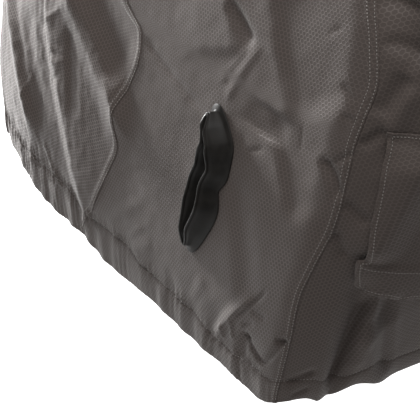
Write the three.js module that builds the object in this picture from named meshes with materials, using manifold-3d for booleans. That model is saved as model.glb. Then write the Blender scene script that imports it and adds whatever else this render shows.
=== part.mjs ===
// Motorcycle cover: a hollow fitted cover of woven cloth, standing as it does over a motorcycle.
// Millimetres, +Z up. X runs along the cover with its front end at -X, and -Y is its left side.
// The origin lies under the top panel, where the saddle carries the cover.
//
// A place on the cover is given by two lengths: along, measured round the cover on its girth line from
// the middle of the front end, positive on the left side, and rise, measured up from the hem.
import * as THREE from "three";
import { mergeVertices } from "three/addons/utils/BufferGeometryUtils.js";
import Module from "manifold-3d";

const { clamp, euclideanModulo, lerp, smoothstep } = THREE.MathUtils;

// Cloth and seams
const CLOTH = 2;
const HEM_CLOTH = 3;
const HEM_BAND = 26;
const HEM_STEP = 12;
const SEAM_GAP = 0.3;
const GIRTH_RISE = 200;
const SADDLE_X = 250;

// The form at each level: the x of the front and rear ends, the half width, and the radii of the round
// of the ends and of the corners.
const LEVELS = [
  { rise: 0, front: -1120, rear: 1120, half: 376, nose: 1700, corner: 62 },
  { rise: 60, front: -1122, rear: 1121, half: 396, nose: 1700, corner: 80 },
  { rise: 150, front: -1114, rear: 1114, half: 421, nose: 1600, corner: 100 },
  { rise: 260, front: -1094, rear: 1098, half: 446, nose: 1500, corner: 122 },
  { rise: 390, front: -1060, rear: 1070, half: 467, nose: 1400, corner: 150 },
  { rise: 530, front: -1014, rear: 1030, half: 476, nose: 1250, corner: 185 },
  { rise: 680, front: -966, rear: 975, half: 470, nose: 1050, corner: 220 },
  { rise: 820, front: -886, rear: 905, half: 440, nose: 880, corner: 240 },
  { rise: 940, front: -778, rear: 830, half: 378, nose: 660, corner: 235 },
  { rise: 1040, front: -680, rear: 760, half: 285, nose: 450, corner: 200 },
  { rise: 1110, front: -620, rear: 705, half: 168, nose: 260, corner: 130 },
  { rise: 1180, front: -560, rear: 645, half: 2, nose: 4, corner: 1 },
];
const CROWN = LEVELS.at(-1);
const CROWN_FROM = 1120;

// Along the length, as shares of the tallest and widest place: handlebars, tank, saddle and tail.
const STATIONS = [
  { x: -1120, ridge: 1, girth: 1 },
  { x: -575, ridge: 1, girth: 1 },
  { x: -420, ridge: 0.985, girth: 1.04 },
  { x: -250, ridge: 0.9, girth: 0.96 },
  { x: -80, ridge: 0.8, girth: 0.83 },
  { x: 120, ridge: 0.735, girth: 0.72 },
  { x: 350, ridge: 0.715, girth: 0.69 },
  { x: 560, ridge: 0.73, girth: 0.72 },
  { x: 700, ridge: 0.735, girth: 0.75 },
  { x: 1120, ridge: 0.735, girth: 0.85 },
];
const RIDGE_FROM = 200;
const WAIST_FROM = 450;
const WAIST_FULL = 1000;

// The seam down the middle of the front end, and the seam at each front corner.
const CENTRE_SEAM = [
  { rise: 0, along: -42 },
  { rise: 64, along: -2 },
  { rise: 125, along: 31 },
  { rise: 160, along: 38 },
  { rise: 196, along: 29 },
  { rise: 231, along: 38 },
  { rise: 268, along: 54 },
  { rise: 299, along: 46 },
  { rise: 330, along: 14 },
  { rise: 450, along: -8 },
  { rise: 700, along: 0 },
];
const CORNER_SEAM = [
  { rise: 0, along: 377 },
  { rise: 60, along: 381 },
  { rise: 160, along: 382 },
  { rise: 229, along: 388 },
  { rise: 310, along: 378 },
  { rise: 346, along: 385 },
  { rise: 399, along: 369 },
  { rise: 442, along: 358 },
  { rise: 700, along: 345 },
];
const TOP_SEAM = 920;
const REAR_SEAM_FROM_MIDDLE = 380;

// How far the hem hangs above or below its level, round the front and along the left side.
const HEM_LINE = [
  { along: -2900, lift: 0 },
  { along: -2300, lift: 8 },
  { along: -1750, lift: -5 },
  { along: -1200, lift: 10 },
  { along: -760, lift: 2 },
  { along: -349, lift: -16 },
  { along: -200, lift: -15 },
  { along: -55, lift: -2 },
  { along: 57, lift: 0 },
  { along: 151, lift: 5 },
  { along: 235, lift: -3 },
  { along: 310, lift: -11 },
  { along: 400, lift: -3 },
  { along: 459, lift: -2 },
  { along: 511, lift: 10 },
  { along: 548, lift: 8 },
  { along: 620, lift: 14 },
  { along: 760, lift: 4 },
  { along: 960, lift: 14 },
  { along: 1350, lift: -3 },
  { along: 1800, lift: 10 },
  { along: 2300, lift: -2 },
  { along: 2900, lift: 0 },
];
const HEM_LINE_FADE = 160;

// Main folds round the front end: a ridge or hollow from one place to another.
const FRONT_FOLDS = [
  { along: 81, rise: 163, toAlong: -176, toRise: 315, width: 26, height: 10 },
  { along: 41, rise: 197, toAlong: -139, toRise: 327, width: 26, height: -9 },
  { along: -32, rise: 28, toAlong: -182, toRise: 238, width: 24, height: 8 },
  { along: -28, rise: 67, toAlong: -114, toRise: 225, width: 20, height: -5 },
  { along: -238, rise: 62, toAlong: -238, toRise: 240, width: 34, height: -7 },
  { along: -205, rise: 66, toAlong: -345, toRise: 200, width: 30, height: 5.5 },
  { along: 231, rise: 350, toAlong: 150, toRise: 380, width: 22, height: -6 },
  { along: 203, rise: 290, toAlong: 237, toRise: 358, width: 12, height: 5 },
  { along: 322, rise: 280, toAlong: 225, toRise: 415, width: 20, height: -8 },
  { along: 371, rise: 235, toAlong: 275, toRise: 453, width: 22, height: 7 },
  { along: 378, rise: 346, toAlong: 306, toRise: 446, width: 28, height: 7 },
  { along: 215, rise: 252, toAlong: 290, toRise: 294, width: 16, height: -6 },
  { along: 338, rise: 224, toAlong: 288, toRise: 290, width: 16, height: -5 },
  { along: 312, rise: 80, toAlong: 250, toRise: 222, width: 26, height: -5 },
  { along: 260, rise: 16, toAlong: 328, toRise: 114, width: 14, height: 8 },
  { along: 12, rise: 34, toAlong: 118, toRise: 122, width: 14, height: 5 },
  { along: 498, rise: -50, toAlong: 412, toRise: 175, width: 28, height: -14 },
  { along: 544, rise: -50, toAlong: 470, toRise: 116, width: 32, height: 9 },
  { along: 430, rise: 360, toAlong: 348, toRise: 480, width: 26, height: -8 },
];

// What the cloth of a side shows of the motorcycle, handlebar end, knee hollow and tail, and the soft
// folds that fall from there to its plain hem. The right side's differ a little.
const SIDE_FOLDS = [
  { along: 380, rise: 1060, toAlong: 700, toRise: 800, width: 120, height: 44 },
  { along: 820, rise: 1080, toAlong: 1010, toRise: 480, width: 170, height: -40 },
  { along: 1680, rise: 960, toAlong: 2420, toRise: 560, width: 170, height: 26 },
  { along: 548, rise: 980, toAlong: 668, toRise: -60, width: 62, height: 12 },
  { along: 610, rise: 900, toAlong: 800, toRise: -60, width: 70, height: -16 },
  { along: 600, rise: 960, toAlong: 950, toRise: -60, width: 82, height: 20 },
  { along: 840, rise: 640, toAlong: 1105, toRise: -60, width: 72, height: -15 },
  { along: 860, rise: 860, toAlong: 1290, toRise: -60, width: 86, height: 18 },
  { along: 1330, rise: 460, toAlong: 1465, toRise: -60, width: 74, height: -14 },
  { along: 1540, rise: 620, toAlong: 1650, toRise: -60, width: 88, height: 16 },
  { along: 1760, rise: 440, toAlong: 1830, toRise: -60, width: 76, height: -15 },
  { along: 1960, rise: 640, toAlong: 2010, toRise: -60, width: 84, height: 15 },
  { along: 2170, rise: 420, toAlong: 2200, toRise: -60, width: 70, height: -12 },
  { along: 2330, rise: 600, toAlong: 2400, toRise: -60, width: 74, height: 13 },
  { along: 2470, rise: 560, toAlong: 2570, toRise: 10, width: 60, height: -9 },
  { along: 2620, rise: 520, toAlong: 2700, toRise: 10, width: 62, height: 10 },
  { along: 2790, rise: 460, toAlong: 2840, toRise: 10, width: 58, height: -9 },
];
const RIGHT_SHIFT = 46;
const RIGHT_SHARE = 0.85;
const FOLD_FADE = 0.3;

// Gathers of the elastic in the hem of each end.
const GATHER_PITCH = 47;
const GATHER_HEIGHT = 3.5;
const GATHER_DRIFT = 190;
const GATHER_SWAY = 0.8;
const GATHER_RISE = 120;
const GATHER_END = 340;
const GATHER_FADE = 60;

// Rows up the walls and over the top, and columns round them: a step for each stretch of a side.
const WALL_ROWS = [0, 15, 34, 70, 112, 158, 208, 262, 322, 390, 470, 570, 690, 810, TOP_SEAM];
const TOP_ROWS = [TOP_SEAM, 990, 1050, 1105, 1145, CROWN.rise];
const FRONT_COLUMNS = 24;
const REAR_COLUMNS = 20;
const SIDE_STEPS = [
  { share: 0.13, columns: 14 },
  { share: 0.785, columns: 21 },
  { share: 0.085, columns: 6 },
];

// Lock port: a vinyl collar of two standing lips round a slit in the left half of the front end.
const PORT = {
  low: 116,
  high: 269,
  halfGap: 10,
  wall: 2.4,
  lip: 19,
  flare: 3.5,
  flange: 7,
  flangeThick: 1.8,
  fillet: 0.8,
  bead: 0.7,
  clear: 0.5,
  stations: 44,
};
const PORT_LINE = [
  { share: 0, along: 206, gap: 1, height: 0.55 },
  { share: 0.15, along: 214, gap: 1, height: 1 },
  { share: 0.35, along: 222, gap: 1, height: 1.05 },
  { share: 0.5, along: 218, gap: 0.75, height: 0.9 },
  { share: 0.64, along: 225, gap: 0.95, height: 0.95 },
  { share: 0.8, along: 225, gap: 1, height: 1.2 },
  { share: 0.93, along: 214, gap: 1, height: 1.2 },
  { share: 1, along: 204, gap: 1, height: 0.75 },
];
const SLIT_DEPTH = 14;

// Flap on the left side panel: sewn along its top and sides, its lower band free.
const FLAP = {
  columns: 12,
  cloth: 2,
  bandCloth: 3,
  band: 0.8,
  clear: 1.2,
  gape: 6,
  gapeFrom: 0.45,
};
const FLAP_SIDES = [
  { down: 0, front: 404, rear: 634 },
  { down: 0.3, front: 417, rear: 640 },
  { down: 0.55, front: 425, rear: 644 },
  { down: 0.8, front: 433, rear: 648 },
  { down: 1, front: 439, rear: 650 },
];
const FLAP_ENDS = [
  { across: 0, top: 322, bottom: 159 },
  { across: 0.3, top: 326, bottom: 146 },
  { across: 0.6, top: 328, bottom: 124 },
  { across: 1, top: 326, bottom: 112 },
];
const FLAP_ROWS = [0, 0.14, 0.3, 0.46, 0.62, 0.78, 0.82, 1];

const wasm = await Module();
wasm.setup();

// A smooth curve through one column of a table, with no overshoot between its rows.
function curveThrough(rows, key, column) {
  const keys = rows.map((row) => row[key]);
  const values = rows.map((row) => row[column]);
  const last = keys.length - 1;
  const slopes = keys.slice(1).map((next, i) => (values[i + 1] - values[i]) / (next - keys[i]));
  const tangents = values.map((_, i) => {
    if (i === 0) return slopes[0];
    if (i === last) return slopes[last - 1];
    const product = slopes[i - 1] * slopes[i];
    return product > 0 ? (2 * product) / (slopes[i - 1] + slopes[i]) : 0;
  });
  return (at) => {
    const held = clamp(at, keys[0], keys[last]);
    let i = 0;
    while (i < last - 1 && held > keys[i + 1]) i += 1;
    const span = keys[i + 1] - keys[i];
    const t = (held - keys[i]) / span;
    const back = 1 - t;
    return (
      back * back * ((1 + 2 * t) * values[i] + t * span * tangents[i]) +
      t * t * ((3 - 2 * t) * values[i + 1] - back * span * tangents[i + 1])
    );
  };
}

// A curve for each column of a table.
function curvesOf(rows, key) {
  const columns = Object.keys(rows[0]).filter((column) => column !== key);
  return Object.fromEntries(columns.map((column) => [column, curveThrough(rows, key, column)]));
}

const levels = curvesOf(LEVELS, "rise");
const stations = curvesOf(STATIONS, "x");
const centreSeam = curveThrough(CENTRE_SEAM, "rise", "along");
const cornerSeam = curveThrough(CORNER_SEAM, "rise", "along");
const hemLine = curveThrough(HEM_LINE, "along", "lift");

// The plan outline at one level: the angle that the round of an end turns through on each side, and how
// far in from the end the middle of a corner's round lies.
function outlineAt(rise) {
  const outline = Object.fromEntries(Object.entries(levels).map(([name, curve]) => [name, curve(rise)]));
  const { half, nose, corner } = outline;
  outline.turn = Math.asin((half - corner) / (nose - corner));
  outline.inset = nose - (nose - corner) * Math.cos(outline.turn);
  return outline;
}

// Lengths of the girth line: half an end, a corner, a side, and halfway round the cover.
const girthLine = outlineAt(GIRTH_RISE);
const END = girthLine.nose * girthLine.turn;
const CORNER = girthLine.corner * (Math.PI / 2 - girthLine.turn);
const SIDE = girthLine.rear - girthLine.front - 2 * girthLine.inset;
const HALFWAY = 2 * END + 2 * CORNER + SIDE;

const wrapped = (along) => euclideanModulo(along + HALFWAY, 2 * HALFWAY) - HALFWAY;

// How far a fold stands out at a place: full on its line, fading to its width on each side and to its
// two ends.
function foldAt(fold, along, rise) {
  const runAlong = fold.toAlong - fold.along;
  const runRise = fold.toRise - fold.rise;
  const length = Math.hypot(runAlong, runRise);
  const fromAlong = wrapped(along - fold.along);
  const fromRise = rise - fold.rise;
  const t = (fromAlong * runAlong + fromRise * runRise) / (length * length);
  const off = Math.abs(fromAlong * runRise - fromRise * runAlong) / length / fold.width;
  if (t <= 0 || t >= 1 || off >= 1) return 0;
  const ends = smoothstep(t, 0, FOLD_FADE) * smoothstep(1 - t, 0, FOLD_FADE);
  return fold.height * ends * 0.5 * (1 + Math.cos(Math.PI * off));
}

const FOLDS = [
  ...FRONT_FOLDS,
  ...SIDE_FOLDS,
  ...SIDE_FOLDS.map((fold) => ({
    ...fold,
    along: -fold.along - RIGHT_SHIFT,
    toAlong: -fold.toAlong - RIGHT_SHIFT,
    height: fold.height * RIGHT_SHARE,
  })),
];

// The gathers' waves, of uneven pitch, along the hem of both ends.
function gatherAt(along, rise) {
  const fromEnd = Math.min(Math.abs(along), HALFWAY - Math.abs(along));
  const near = 1 - smoothstep(fromEnd, GATHER_END, GATHER_END + GATHER_FADE);
  const share = near * (1 - smoothstep(rise, 0, GATHER_RISE));
  const drift = GATHER_SWAY * Math.sin((2 * Math.PI * along) / GATHER_DRIFT);
  return GATHER_HEIGHT * share * Math.sin((2 * Math.PI * along) / GATHER_PITCH + drift);
}

// The height of a level, with the crown rounded off so that the top lies flat along its middle.
function heightOf(rise) {
  const span = CROWN.rise - CROWN_FROM;
  const over = Math.max(rise - CROWN_FROM, 0) / span;
  return rise - (span * over * over) / 2;
}

// A point of the cover's outer face.
function coverPoint(alongRaw, riseRaw) {
  const along = wrapped(alongRaw);
  const rise = riseRaw + hemLine(along) * (1 - smoothstep(riseRaw, 0, HEM_LINE_FADE));
  const { front, rear, half, nose, corner, turn, inset } = outlineAt(rise);
  const reach = Math.abs(along);
  const fromEnd = Math.min(reach, HALFWAY - reach);
  const end = reach > HALFWAY / 2 ? -1 : 1;
  let inward;
  let across;
  let out;
  if (fromEnd <= END) {
    const angle = (turn * fromEnd) / END;
    inward = nose * (1 - Math.cos(angle));
    across = nose * Math.sin(angle);
    out = angle;
  } else if (fromEnd <= END + CORNER) {
    const angle = lerp(turn, Math.PI / 2, (fromEnd - END) / CORNER);
    inward = inset - corner * Math.cos(angle);
    across = half - corner + corner * Math.sin(angle);
    out = angle;
  } else {
    inward = lerp(inset, (rear - front) / 2, (fromEnd - END - CORNER) / (SIDE / 2));
    across = half;
    out = Math.PI / 2;
  }
  const x = end > 0 ? front + inward : rear - inward;
  const hand = along >= 0 ? -1 : 1;
  const waist = lerp(1, stations.girth(x), smoothstep(rise, WAIST_FROM, WAIST_FULL));
  const drop = (1 - stations.ridge(x)) * smoothstep(rise, RIDGE_FROM, CROWN.rise);
  const stand = FOLDS.reduce((sum, fold) => sum + foldAt(fold, along, rise), gatherAt(along, riseRaw));
  return new THREE.Vector3(
    x - end * stand * Math.cos(out),
    hand * (across * waist + stand * Math.sin(out)),
    heightOf(rise) * (1 - drop),
  );
}

// The outward normal, from points a little to each side and a little below and above.
const PROBE = 1.5;
function coverNormal(along, rise) {
  const low = Math.max(rise - PROBE, 0);
  const round = coverPoint(along + PROBE, rise).sub(coverPoint(along - PROBE, rise));
  const up = coverPoint(along, rise + PROBE).sub(coverPoint(along, low));
  return round.cross(up).normalize();
}

// A point standing off the cover's outer face.
const offCover = (along, rise, off) =>
  coverPoint(along, rise).addScaledVector(coverNormal(along, rise), off);

// A closed geometry from points and triangles, with shared points merged and flat triangles dropped.
const WELD = 1e-3;
function closedGeometry(points, triangles) {
  const raw = new THREE.BufferGeometry().setFromPoints(points);
  raw.setIndex(triangles.flat());
  const geometry = mergeVertices(raw, WELD);
  const kept = [];
  const index = geometry.index.array;
  for (let i = 0; i < index.length; i += 3) {
    const [a, b, c] = index.slice(i, i + 3);
    if (a !== b && b !== c && c !== a) kept.push(a, b, c);
  }
  geometry.setIndex(kept);
  return geometry;
}

// A sheet of cloth from rows of outer and inner points: two faces and a rim round the open edges.
// A ring has no side edges, and its last row closes on itself, so it has no upper edge either.
function sheetGeometry(outer, inner, ring = false) {
  const rows = outer.length;
  const columns = outer[0].length;
  const points = [...outer.flat(), ...inner.flat()];
  const inside = rows * columns;
  const at = (row, column) => row * columns + (column % columns);
  const triangles = [];
  const quad = (a, b, c, d) => triangles.push([a, b, c], [a, c, d]);
  const spans = ring ? columns : columns - 1;
  for (let r = 0; r < rows - 1; r += 1) {
    for (let c = 0; c < spans; c += 1) {
      const [a, b, d, e] = [at(r, c), at(r, c + 1), at(r + 1, c + 1), at(r + 1, c)];
      quad(a, b, d, e);
      quad(inside + a, inside + e, inside + d, inside + b);
    }
  }
  // Edges that face each other across a seam are split along the same diagonal, so they stay parallel.
  const rim = (a, b) => quad(b, a, inside + a, inside + b);
  const facingRim = (a, b) => quad(a, inside + a, inside + b, b);
  for (let c = 0; c < spans; c += 1) {
    facingRim(at(0, c), at(0, c + 1));
    if (!ring) rim(at(rows - 1, c + 1), at(rows - 1, c));
  }
  if (!ring) {
    for (let r = 0; r < rows - 1; r += 1) {
      rim(at(r + 1, 0), at(r, 0));
      facingRim(at(r, columns - 1), at(r + 1, columns - 1));
    }
  }
  return closedGeometry(points, triangles);
}

const clothAt = (rise) => lerp(HEM_CLOTH, CLOTH, smoothstep(rise, HEM_BAND, HEM_BAND + HEM_STEP));
const evenShares = (count) => Array.from({ length: count + 1 }, (_, i) => i / count);

// Shares of a side's length at its columns, from the front seam to the rear seam.
function sideShares() {
  const shares = [0];
  for (const { share, columns } of SIDE_STEPS) {
    const from = shares.at(-1);
    for (let i = 1; i <= columns; i += 1) shares.push(from + (share * i) / columns);
  }
  return shares;
}

// The panels round the walls, in order round the cover: the seams at their two ends and their columns.
const rearSeam = HALFWAY - REAR_SEAM_FROM_MIDDLE;
const WALLS = {
  front_left: { from: centreSeam, to: cornerSeam, shares: evenShares(FRONT_COLUMNS) },
  side_left: { from: cornerSeam, to: () => rearSeam, shares: sideShares() },
  rear_panel: { from: () => rearSeam, to: () => 2 * HALFWAY - rearSeam, shares: evenShares(REAR_COLUMNS) },
  side_right: {
    from: () => 2 * HALFWAY - rearSeam,
    to: (rise) => 2 * HALFWAY - cornerSeam(rise),
    shares: sideShares().map((share) => 1 - share).reverse(),
  },
  front_right: {
    from: (rise) => 2 * HALFWAY - cornerSeam(rise),
    to: (rise) => 2 * HALFWAY + centreSeam(rise),
    shares: evenShares(FRONT_COLUMNS),
  },
};

// Half a seam's gap, as a length along the girth line.
function seamShare(along, rise) {
  const stretch = coverPoint(along + PROBE, rise).distanceTo(coverPoint(along - PROBE, rise)) / (2 * PROBE);
  return SEAM_GAP / 2 / stretch;
}

// A wall panel, half a seam's gap short of each seam and of the top panel.
function wallGeometry({ from, to, shares }) {
  const places = WALL_ROWS.map((row) => {
    const rise = Math.min(row, TOP_SEAM - SEAM_GAP / 2);
    const first = from(rise) + seamShare(from(rise), rise);
    const last = to(rise) - seamShare(to(rise), rise);
    return shares.map((share) => ({ along: lerp(first, last, share), rise }));
  });
  const outer = places.map((row) => row.map(({ along, rise }) => coverPoint(along, rise)));
  const inner = places.map((row) => row.map(({ along, rise }) => offCover(along, rise, -clothAt(rise))));
  return sheetGeometry(outer, inner);
}

// The top panel: rings from the seam up to the ridge, where the two sides meet.
function topGeometry() {
  const round = Object.values(WALLS).flatMap(({ from, to, shares }) =>
    shares.slice(1).map((share) => lerp(from(TOP_SEAM), to(TOP_SEAM), share)),
  );
  const ridgePoint = (along) => {
    const point = coverPoint(along, CROWN.rise);
    const x = clamp(point.x, CROWN.front + CROWN.nose, CROWN.rear - CROWN.nose);
    return new THREE.Vector3(x, 0, point.z);
  };
  const outer = [];
  const inner = [];
  for (const row of TOP_ROWS) {
    const ridge = row === CROWN.rise;
    const rise = Math.max(row, TOP_SEAM + SEAM_GAP / 2);
    outer.push(round.map((along) => (ridge ? ridgePoint(along) : coverPoint(along, rise))));
    inner.push(
      round.map((along) =>
        ridge ? ridgePoint(along).add(new THREE.Vector3(0, 0, -CLOTH)) : offCover(along, rise, -CLOTH),
      ),
    );
  }
  return sheetGeometry(outer, inner, true);
}

// The slit's outline: places in order, up its left-hand lip and down the other, starting at its foot.
const portLine = curvesOf(PORT_LINE, "share");
const slitPlaces = Array.from({ length: PORT.stations }, (_, i) => {
  const angle = (2 * Math.PI * i) / PORT.stations;
  const share = 0.5 * (1 - Math.cos(angle));
  return {
    along: portLine.along(share) + PORT.halfGap * portLine.gap(share) * Math.sin(angle),
    rise: lerp(PORT.low, PORT.high, share),
    height: PORT.lip * portLine.height(share),
  };
});

// The collar's section: steps away from the slit and off the cloth, from the foot of the lip's inner
// face, out under the flange, and back up and over the lip's rounded edge.
function collarSection(height) {
  const { wall, flare, flange, flangeThick, fillet, bead, clear } = PORT;
  const lean = flare / 3;
  const middle = height / 2;
  const neck = height - 2 * bead;
  return [
    [0, clear],
    [wall + flange, clear],
    [wall + flange, clear + flangeThick],
    [wall + fillet, clear + flangeThick + fillet],
    [wall + lean, middle],
    [wall + flare + bead, neck],
    [wall + flare, height],
    [flare, height],
    [flare - bead, neck],
    [lean, middle],
  ];
}

// The lock port's collar: its section carried round the slit.
function portGeometry() {
  const count = slitPlaces.length;
  const frames = slitPlaces.map(({ along, rise, height }, i) => {
    const before = slitPlaces[(i + count - 1) % count];
    const after = slitPlaces[(i + 1) % count];
    const normal = coverNormal(along, rise);
    const run = coverPoint(after.along, after.rise).sub(coverPoint(before.along, before.rise));
    const away = run.cross(normal).normalize();
    return { point: coverPoint(along, rise), normal, away, section: collarSection(height) };
  });
  const points = frames.flatMap(({ point, normal, away, section }) =>
    section.map(([aside, off]) => point.clone().addScaledVector(away, aside).addScaledVector(normal, off)),
  );
  const size = frames[0].section.length;
  const triangles = [];
  for (let i = 0; i < count; i += 1) {
    for (let k = 0; k < size; k += 1) {
      const next = ((i + 1) % count) * size;
      const [a, b] = [i * size + k, i * size + ((k + 1) % size)];
      const [c, d] = [next + ((k + 1) % size), next + k];
      triangles.push([a, c, b], [a, d, c]);
    }
  }
  return closedGeometry(points, triangles);
}

// A plug of the slit's outline, through the cloth, for cutting it.
function slitPlug() {
  const count = slitPlaces.length;
  const points = [-SLIT_DEPTH, SLIT_DEPTH].flatMap((off) =>
    slitPlaces.map(({ along, rise }) => offCover(along, rise, off)),
  );
  const triangles = [];
  for (let i = 0; i < count; i += 1) {
    const next = (i + 1) % count;
    triangles.push([i, next, count + next], [i, count + next, count + i]);
  }
  for (let i = 0; i < count / 2; i += 1) {
    const [a, b] = [i, i + 1];
    const [c, d] = [(count - i - 1) % count, (count - i) % count];
    triangles.push([a, c, b], [a, d, c]);
    triangles.push([count + a, count + b, count + c], [count + a, count + c, count + d]);
  }
  return closedGeometry(points, triangles);
}

// The flap, lying on the left side panel and gaping a little at the middle of its lower band.
function flapGeometry() {
  const sides = curvesOf(FLAP_SIDES, "down");
  const ends = curvesOf(FLAP_ENDS, "across");
  const grid = (off) =>
    FLAP_ROWS.map((down) =>
      evenShares(FLAP.columns).map((across) => {
        const along = lerp(sides.front(down), sides.rear(down), across);
        const rise = lerp(ends.top(across), ends.bottom(across), down);
        const gape = FLAP.gape * smoothstep(down, FLAP.gapeFrom, 1) * Math.sin(Math.PI * across);
        return offCover(along, rise, FLAP.clear + gape + off(down));
      }),
    ).reverse();
  const thick = (down) => (down > FLAP.band ? FLAP.bandCloth : FLAP.cloth);
  return sheetGeometry(grid(thick), grid(() => 0));
}

function toSolid(geometry) {
  return new wasm.Manifold(
    new wasm.Mesh({
      numProp: 3,
      vertProperties: geometry.attributes.position.array,
      triVerts: new Uint32Array(geometry.index.array),
    }),
  );
}

function toGeometry(solid) {
  const { vertProperties, triVerts } = solid.getMesh();
  const geometry = new THREE.BufferGeometry();
  geometry.setAttribute("position", new THREE.BufferAttribute(vertProperties, 3));
  geometry.setIndex(new THREE.BufferAttribute(triVerts, 1));
  return geometry;
}

const cloth = new THREE.MeshStandardMaterial({ color: 0x6a635f, roughness: 0.62, metalness: 0 });
const vinyl = new THREE.MeshStandardMaterial({ color: 0x211e1b, roughness: 0.35, metalness: 0 });

const cover = new THREE.Group();
function sew(name, geometry, material) {
  const piece = new THREE.Mesh(geometry, material);
  piece.name = name;
  cover.add(piece);
}

for (const [name, wall] of Object.entries(WALLS)) {
  const geometry = wallGeometry(wall);
  const cut = name === "front_left";
  sew(name, cut ? toGeometry(toSolid(geometry).subtract(toSolid(slitPlug()))) : geometry, cloth);
}
sew("top_panel", topGeometry(), cloth);
sew("lock_port", portGeometry(), vinyl);
sew("flap", flapGeometry(), cloth);

// The saddle's place under the top panel is the origin.
const saddleTop = heightOf(CROWN.rise) * stations.ridge(SADDLE_X);
cover.position.set(-SADDLE_X, 0, -(saddleTop - CLOTH));

const part = new THREE.Group();
part.add(cover);
export default part;
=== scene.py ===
"""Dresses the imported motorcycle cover: cloth panels, hems, seams, the vinyl lock port and the flap.

Lengths in the tables are millimetres. A place on the cover is given by two lengths, as its cutter gives
it: along, round the cover from the middle of its front end, positive on the left side, and rise, up from
the hem.
"""

from types import SimpleNamespace

import bpy
import numpy as np
from bpy.props import FloatProperty, FloatVectorProperty, PointerProperty
from bpy.types import Operator, Panel, PropertyGroup, Scene
from mathutils import Matrix, Vector


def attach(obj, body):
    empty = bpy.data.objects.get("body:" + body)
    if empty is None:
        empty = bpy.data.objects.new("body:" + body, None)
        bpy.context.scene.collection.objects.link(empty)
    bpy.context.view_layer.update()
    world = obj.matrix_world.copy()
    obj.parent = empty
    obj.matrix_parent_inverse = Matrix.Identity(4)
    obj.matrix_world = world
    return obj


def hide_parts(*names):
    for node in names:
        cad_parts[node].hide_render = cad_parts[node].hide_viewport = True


bl_info = {
    "name": "Motorcycle Cover",
    "version": (1, 0, 0),
    "blender": (4, 5, 0),
    "location": "View3D > Sidebar > Cover",
    "description": "Cloth panels, stitching, lock port and flap of a fitted motorcycle cover",
    "category": "Object",
}

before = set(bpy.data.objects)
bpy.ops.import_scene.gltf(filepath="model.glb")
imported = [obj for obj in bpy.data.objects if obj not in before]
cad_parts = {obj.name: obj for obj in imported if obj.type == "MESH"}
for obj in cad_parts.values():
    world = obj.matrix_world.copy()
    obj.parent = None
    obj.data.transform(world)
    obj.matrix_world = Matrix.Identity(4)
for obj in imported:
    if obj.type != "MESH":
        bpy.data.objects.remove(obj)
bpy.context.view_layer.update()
MM = 0.001


def table(columns, *rows):
    """A table as a list of rows with named columns."""
    names = columns.split()
    return [SimpleNamespace(**dict(zip(names, row))) for row in rows]


# The form at each level, as in the solids: ends, half width, and radii of the ends and corners.
LEVELS = table(
    "rise front rear half nose corner",
    (0, -1120, 1120, 376, 1700, 62),
    (60, -1122, 1121, 396, 1700, 80),
    (150, -1114, 1114, 421, 1600, 100),
    (260, -1094, 1098, 446, 1500, 122),
    (390, -1060, 1070, 467, 1400, 150),
    (530, -1014, 1030, 476, 1250, 185),
    (680, -966, 975, 470, 1050, 220),
    (820, -886, 905, 440, 880, 240),
    (940, -778, 830, 378, 660, 235),
    (1040, -680, 760, 285, 450, 200),
    (1110, -620, 705, 168, 260, 130),
    (1180, -560, 645, 2, 4, 1),
)
CROWN = LEVELS[-1]
CROWN_FROM = 1120
STATIONS = table(
    "x ridge girth",
    (-1120, 1, 1), (-575, 1, 1), (-420, 0.985, 1.04), (-250, 0.9, 0.96), (-80, 0.8, 0.83),
    (120, 0.735, 0.72), (350, 0.715, 0.69), (560, 0.73, 0.72), (700, 0.735, 0.75), (1120, 0.735, 0.85),
)
RIDGE_FROM = 200
WAIST_FROM = 450
WAIST_FULL = 1000
GIRTH_RISE = 200
SADDLE_X = 250
CLOTH = 2

# Seams: the middle of the front end, the front corners, the rear corners and the top.
CENTRE_SEAM = table(
    "rise along",
    (0, -52), (39, -24), (64, -2), (125, 31), (160, 44), (196, 37), (231, 45), (268, 55), (297, 48),
    (316, 7), (345, -10), (450, -8), (700, 0),
)
CORNER_SEAM = table(
    "rise along",
    (0, 380), (28, 383), (74, 387), (135, 380), (168, 384), (216, 389), (270, 384), (311, 379),
    (353, 379), (399, 368), (442, 356), (700, 345),
)
TOP_SEAM = 920
REAR_SEAM_FROM_MIDDLE = 380

# How far the hem hangs above or below its level.
HEM_LINE = table(
    "along lift",
    (-2900, 0), (-2300, 8), (-1750, -5), (-1200, 10), (-760, 2), (-349, -12), (-207, -21), (-120, -14),
    (-50, -5), (7, -9), (130, -2), (219, -7), (281, -10), (336, -17), (398, -4), (435, 3), (462, -2),
    (486, -2), (512, 15), (545, 6), (620, 11), (760, 4), (960, 14), (1350, -3), (1800, 10), (2300, -2),
    (2900, 0),
)
HEM_LINE_FADE = 160

# The front end hangs flatter than its solids: how far the cloth swings forward, to the left and up.
FRONT_SLACK = table(
    "along swing",
    (-520, 0), (-420, 0), (-340, 1), (-270, 8), (-235, 7), (-150, -12), (-50, -27), (50, -31),
    (150, -25), (250, -7), (320, 12), (372, 25), (420, 14), (490, 0), (590, 0),
)
SLACK_WAY = (-0.42, -0.75, 0.51)
SLACK_FULL = 380
SLACK_TOP = 600

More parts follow.
